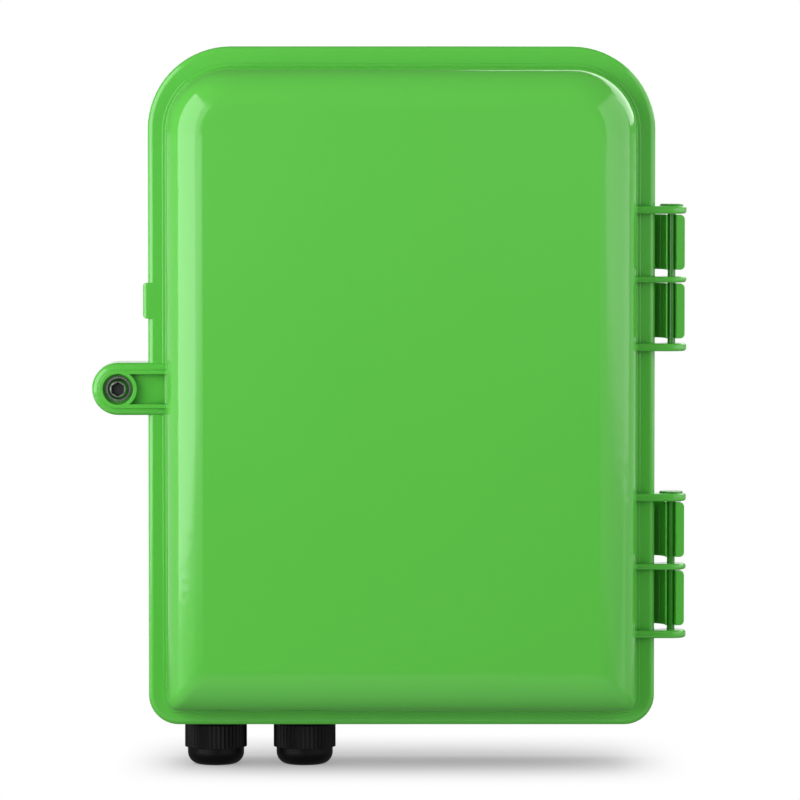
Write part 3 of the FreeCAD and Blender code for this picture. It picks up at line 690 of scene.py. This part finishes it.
class FIBREBOX_OT_lock(bpy.types.Operator):
    """Make the lock bolt with its thread and hexagon socket, and finish its washers and insert"""

    bl_idname = "fibrebox.lock"
    bl_label = "Lock"

    def execute(self, context):
        dress(("lock_washer", "lock_retainer", "lock_insert", "lock_bolt"), context)
        sizes = context.scene.screw_sizes
        low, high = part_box("lock_bolt")
        seat = low.y + sizes.bolt_head_height
        length = high.y - seat
        radius = sizes.bolt_radius
        head = sizes.bolt_head_height
        collar_low = head * 0.7
        flange = sizes.bolt_head_radius
        collar = sizes.bolt_collar_radius
        flats = sizes.bolt_socket_flats
        socket = hexagon_radius(flats)
        socket_rim = hexagon_radius(flats + 0.5 * MM)
        floor = head - sizes.bolt_socket_depth
        rows = [(radius * 0.75, -length)]
        rows += thread_rows(radius, sizes.bolt_pitch, 0.55 * MM, -length + radius * 0.25, -2.0 * MM)
        rows += [(radius * 0.98, -1.6 * MM), (radius * 0.98, 0.0)]
        rows += [(flange - 0.2 * MM, 0.0), (flange, 0.2 * MM), (flange, 0.7 * MM)]
        rows += [(flange - 0.25 * MM, 1.1 * MM), (collar + 0.45 * MM, collar_low - 0.35 * MM)]
        rows += [(collar + 0.1 * MM, collar_low), (collar, collar_low + 0.25 * MM)]
        rows += [(collar, head - 0.25 * MM), (collar - 0.25 * MM, head)]
        rows += [(socket_rim, head), (socket, head - 0.3 * MM), (socket, floor)]
        bm = bmesh.new()
        verts = turned_form(bm, rows, BOLT_STEPS)
        face_front(bm.verts, (low.x + high.x) / 2.0, seat, (low.z + high.z) / 2.0)
        if len(verts) != BOLT_STEPS * len(rows):
            raise RuntimeError("the lock bolt wasn't made")
        bolt = piece_from(bm, "lock_bolt_threaded", "bolt", "zinc_steel", context)
        bolt.data.materials.append(finish_for("socket_painted_shade", context))
        # Faces inside the socket take the second, near-black material: painted shade in the hollow.
        middle = Vector(((low.x + high.x) / 2.0, low.y, (low.z + high.z) / 2.0))
        for polygon in bolt.data.polygons:
            off = polygon.center - middle
            if math.hypot(off.x, off.z) < flats * 0.6 and 0.1 * MM < off.y < sizes.bolt_head_height:
                polygon.material_index = 1
        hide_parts("lock_bolt")
        return {"FINISHED"}


class FIBREBOX_OT_glands(bpy.types.Operator):
    """Finish the cable glands and cut the thread that shows inside the base"""

    bl_idname = "fibrebox.glands"
    bl_label = "Cable glands"

    def execute(self, context):
        sizes = context.scene.screw_sizes
        for side in ("left", "right"):
            dress(("gland_body_" + side, "gland_nut_" + side, "gland_locknut_" + side), context)
            body_low, body_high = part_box("gland_body_" + side)
            _, nut_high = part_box("gland_locknut_" + side)
            seal_low, seal_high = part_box("gland_washer_" + side)
            radius = (seal_high.x - seal_low.x) / 2.0 - GLAND_WASHER_OVERHANG
            low = nut_high.z + GLAND_NUT_GAP
            high = body_high.z - GLAND_THREAD_INSET
            crest = radius + sizes.gland_thread_height
            rows = thread_rows(crest, sizes.gland_pitch, sizes.gland_thread_height, low, high, 10)
            bm = bmesh.new()
            rings = [ring_of(bm, reach, height, GLAND_STEPS) for reach, height in rows]
            core = radius - GLAND_THREAD_INSET
            inner = [ring_of(bm, core, height, GLAND_STEPS) for height in (low, high)]
            outline = rings + inner[::-1]
            for here, there in zip(outline, outline[1:] + outline[:1]):
                for index in range(GLAND_STEPS):
                    after = (index + 1) % GLAND_STEPS
                    bm.faces.new((here[index], here[after], there[after], there[index]))
            centre = (body_low + body_high) / 2.0
            for vert in bm.verts:
                vert.co.x += centre.x
                vert.co.y += centre.y
            piece_from(bm, "gland_thread_" + side, "base", "black_nylon", context)
        return {"FINISHED"}


class FIBREBOX_OT_tray(bpy.types.Operator):
    """Finish the splice tray and its clear lid"""

    bl_idname = "fibrebox.tray"
    bl_label = "Splice tray"

    def execute(self, context):
        dress(("splice_tray", "splice_tray_lid"), context)
        return {"FINISHED"}


class FIBREBOX_OT_adapters(bpy.types.Operator):
    """Finish the adapter bracket and the fibre adapters"""

    bl_idname = "fibrebox.adapters"
    bl_label = "Adapters"

    def execute(self, context):
        dress(["adapter_panel"], context)
        dress([name for name in frame["nodes"] if name[len("adapter_"):].isdigit()], context)
        return {"FINISHED"}


class FIBREBOX_OT_clamps(bpy.types.Operator):
    """Finish the cable clamps"""

    bl_idname = "fibrebox.clamps"
    bl_label = "Cable clamps"

    def execute(self, context):
        dress(("cable_clamp_left", "cable_clamp_right"), context)
        return {"FINISHED"}


class FIBREBOX_OT_small_screws(bpy.types.Operator):
    """Make the small pan-head screws with their recesses and threads"""

    bl_idname = "fibrebox.small_screws"
    bl_label = "Small screws"

    def execute(self, context):
        for name in ("tray_screws", "panel_screws", "clamp_screws"):
            dress([name], context)
            bm = bmesh.new()
            for low, high in solid_boxes(name):
                pan_head_screw(bm, low, high, context.scene.screw_sizes)
            piece = piece_from(bm, name + "_cut", "base", "zinc_steel", context)
            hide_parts(name)
        return {"FINISHED"}


class FIBREBOX_OT_stage(bpy.types.Operator):
    """Lay the pale floor, set the lamps and the room, and place the camera"""

    bl_idname = "fibrebox.stage"
    bl_label = "Stage"

    def execute(self, context):
        studio = context.scene.studio_settings
        lay_floor(context, cad_bounds[0].z)
        light_room(context, studio.room_strength)
        for name, place, size, setting, way in SCREENS:
            screen(context, name, place, size, getattr(studio, setting), way)
        place_camera(context, studio)
        context.scene.view_settings.view_transform = "Standard"
        return {"FINISHED"}


def lay_floor(context, height):
    """A wide pale floor under the box that shows white, with the box's shadow painted on it from ambient
    occlusion.
    """
    bm = bmesh.new()
    signs = ((-1, -1), (1, -1), (1, 1), (-1, 1))
    bm.faces.new([bm.verts.new((x * FLOOR_HALF, y * FLOOR_HALF, height)) for x, y in signs])
    mesh = bpy.data.meshes.new("floor")
    bm.to_mesh(mesh)
    bm.free()
    floor = bpy.data.objects.new("floor", mesh)
    context.scene.collection.objects.link(floor)
    material = bpy.data.materials.new("pale_floor")
    material.use_nodes = True
    bench = Bench(material.node_tree)
    place = bench.add("ShaderNodeNewGeometry").outputs["Position"]
    parts = bench.add("ShaderNodeSeparateXYZ", None, {0: place})
    side = bench.signal(parts, 0)
    front = 0.0 - bench.signal(parts, 1)
    path = bench.add("ShaderNodeLightPath")
    glossy = bench.signal(path, "Is Glossy Ray")
    # Painted shadow: the floor's white glow is dimmed by ambient occlusion from the box, kept to a band
    # under it and to the box's width.
    shadow_occlusion = bench.add("ShaderNodeAmbientOcclusion", {"samples": 16}, {"Distance": PAINTED_SHADOW_REACH})
    painted_shadow_depth = 1.0 - bench.signal(shadow_occlusion, 1)
    under = 1.0 - front.step_between(-0.02, 0.125)
    beside = 1.0 - side.math("ABSOLUTE", side).step_between(0.09, 0.13)
    seen = 1.0 - PAINTED_SHADOW_STRENGTH * painted_shadow_depth * under * beside
    # Painted glow: seen only in reflections, the floor shines brighter in a band in front of the box and
    # at both sides, for the highlights on the box's gloss.
    near = front.step_between(0.06, 0.12) * (1.0 - front.step_between(0.2, 0.34))
    sides = 0.6 * (0.0 - side).step_between(0.3, 0.5) + 0.5 * side.step_between(0.3, 0.5)
    painted_glow_in_gloss = 0.12 + 0.48 * near + sides + 0.14 * front.step_between(1.5, 9.0)
    lit = FLOOR_LEVEL + glossy * (painted_glow_in_gloss - FLOOR_LEVEL)
    shown = bench.add("ShaderNodeEmission", None, {"Color": WHITE, "Strength": seen})
    floor_glow = bench.add("ShaderNodeEmission", None, {"Color": WHITE, "Strength": lit})
    plain = bench.signal(path, "Is Camera Ray") + bench.signal(path, "Is Transmission Ray")
    layers = {0: plain, 1: floor_glow.outputs[0], 2: shown.outputs[0]}
    both = bench.add("ShaderNodeMixShader", None, layers)
    output = bench.add("ShaderNodeOutputMaterial")
    bench.feed(output.inputs["Surface"], both.outputs[0])
    mesh.materials.append(material)


def light_room(context, strength):
    """A room whose back shows white, also in gloss and through clear plastic, and whose rest is dim."""
    world = bpy.data.worlds.new("studio_room")
    context.scene.world = world
    world.use_nodes = True
    bench = Bench(world.node_tree)
    way = bench.add("ShaderNodeTexCoord").outputs["Generated"]
    parts = bench.add("ShaderNodeSeparateXYZ", None, {0: way})
    back = bench.signal(parts, 1)
    room = strength + back.step_between(0.0, 0.6) * (ROOM_BEHIND - strength)
    path = bench.add("ShaderNodeLightPath")
    plain = bench.signal(path, "Is Camera Ray") + bench.signal(path, "Is Transmission Ray")
    backdrop = plain + bench.signal(path, "Is Glossy Ray") * back.step_between(0.9, 0.97)
    level = room + backdrop * (1.0 - room)
    paint = bench.add("ShaderNodeBackground", None, {"Color": WHITE, "Strength": level})
    output = bench.add("ShaderNodeOutputWorld")
    bench.feed(output.inputs["Surface"], paint.outputs[0])


def screen(context, name, place, size, brightness, way):
    """A flat lit screen that faces the box, or the way given."""
    lamp = bpy.data.lights.new(name, "AREA")
    lamp.shape = "RECTANGLE"
    lamp.size, lamp.size_y = size
    lamp.energy = brightness * size[0] * size[1] * AREA_LAMP_SPREAD
    piece = bpy.data.objects.new(name, lamp)
    piece.location = place
    look = Vector(way) if way else (cad_bounds[0] + cad_bounds[1]) / 2.0 - Vector(place)
    piece.rotation_euler = look.to_track_quat("-Z", "Y").to_euler()
    context.scene.collection.objects.link(piece)


def place_camera(context, studio):
    """A long lens in front of the box, looking slightly down."""
    lens = bpy.data.cameras.new("camera")
    lens.sensor_width = 36.0
    lens.lens = lens.sensor_width * studio.distance / studio.view_width
    lens.clip_end = 60.0
    camera = bpy.data.objects.new("camera", lens)
    back = Vector((0.0, -math.cos(studio.tilt), math.sin(studio.tilt)))
    camera.location = Vector(studio.aim) + back * studio.distance
    camera.rotation_euler = (math.pi / 2.0 - studio.tilt, 0.0, 0.0)
    context.scene.collection.objects.link(camera)
    context.scene.camera = camera


class FIBREBOX_PT_panel(bpy.types.Panel):
    """Lists the box's settings and the steps that dress it"""

    bl_idname = "FIBREBOX_PT_panel"
    bl_label = "Fibre Box"
    bl_space_type = "VIEW_3D"
    bl_region_type = "UI"
    bl_category = "Fibre Box"

    def draw(self, context):
        scene = context.scene
        for group in (scene.box_colours, scene.screw_sizes, scene.studio_settings):
            part = self.layout.box()
            for name in group.__annotations__:
                part.prop(group, name)
        for operator in OPERATORS:
            self.layout.operator(operator.bl_idname)


OPERATORS = (
    FIBREBOX_OT_housing,
    FIBREBOX_OT_seals,
    FIBREBOX_OT_lock,
    FIBREBOX_OT_glands,
    FIBREBOX_OT_tray,
    FIBREBOX_OT_adapters,
    FIBREBOX_OT_clamps,
    FIBREBOX_OT_small_screws,
    FIBREBOX_OT_stage,
)
GROUPS = (BoxColours, ScrewSizes, StudioSettings)


def register():
    for item in GROUPS + OPERATORS + (FIBREBOX_PT_panel,):
        bpy.utils.register_class(item)
    bpy.types.Scene.box_colours = bpy.props.PointerProperty(type=BoxColours)
    bpy.types.Scene.screw_sizes = bpy.props.PointerProperty(type=ScrewSizes)
    bpy.types.Scene.studio_settings = bpy.props.PointerProperty(type=StudioSettings)


def unregister():
    del bpy.types.Scene.studio_settings
    del bpy.types.Scene.screw_sizes
    del bpy.types.Scene.box_colours
    for item in reversed(GROUPS + OPERATORS + (FIBREBOX_PT_panel,)):
        bpy.utils.unregister_class(item)


def main():
    """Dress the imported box."""
    register()
    bpy.ops.fibrebox.housing()
    bpy.ops.fibrebox.seals()
    bpy.ops.fibrebox.lock()
    bpy.ops.fibrebox.glands()
    bpy.ops.fibrebox.tray()
    bpy.ops.fibrebox.adapters()
    bpy.ops.fibrebox.clamps()
    bpy.ops.fibrebox.small_screws()
    bpy.ops.fibrebox.stage()


if __name__ == "__main__":
    main()
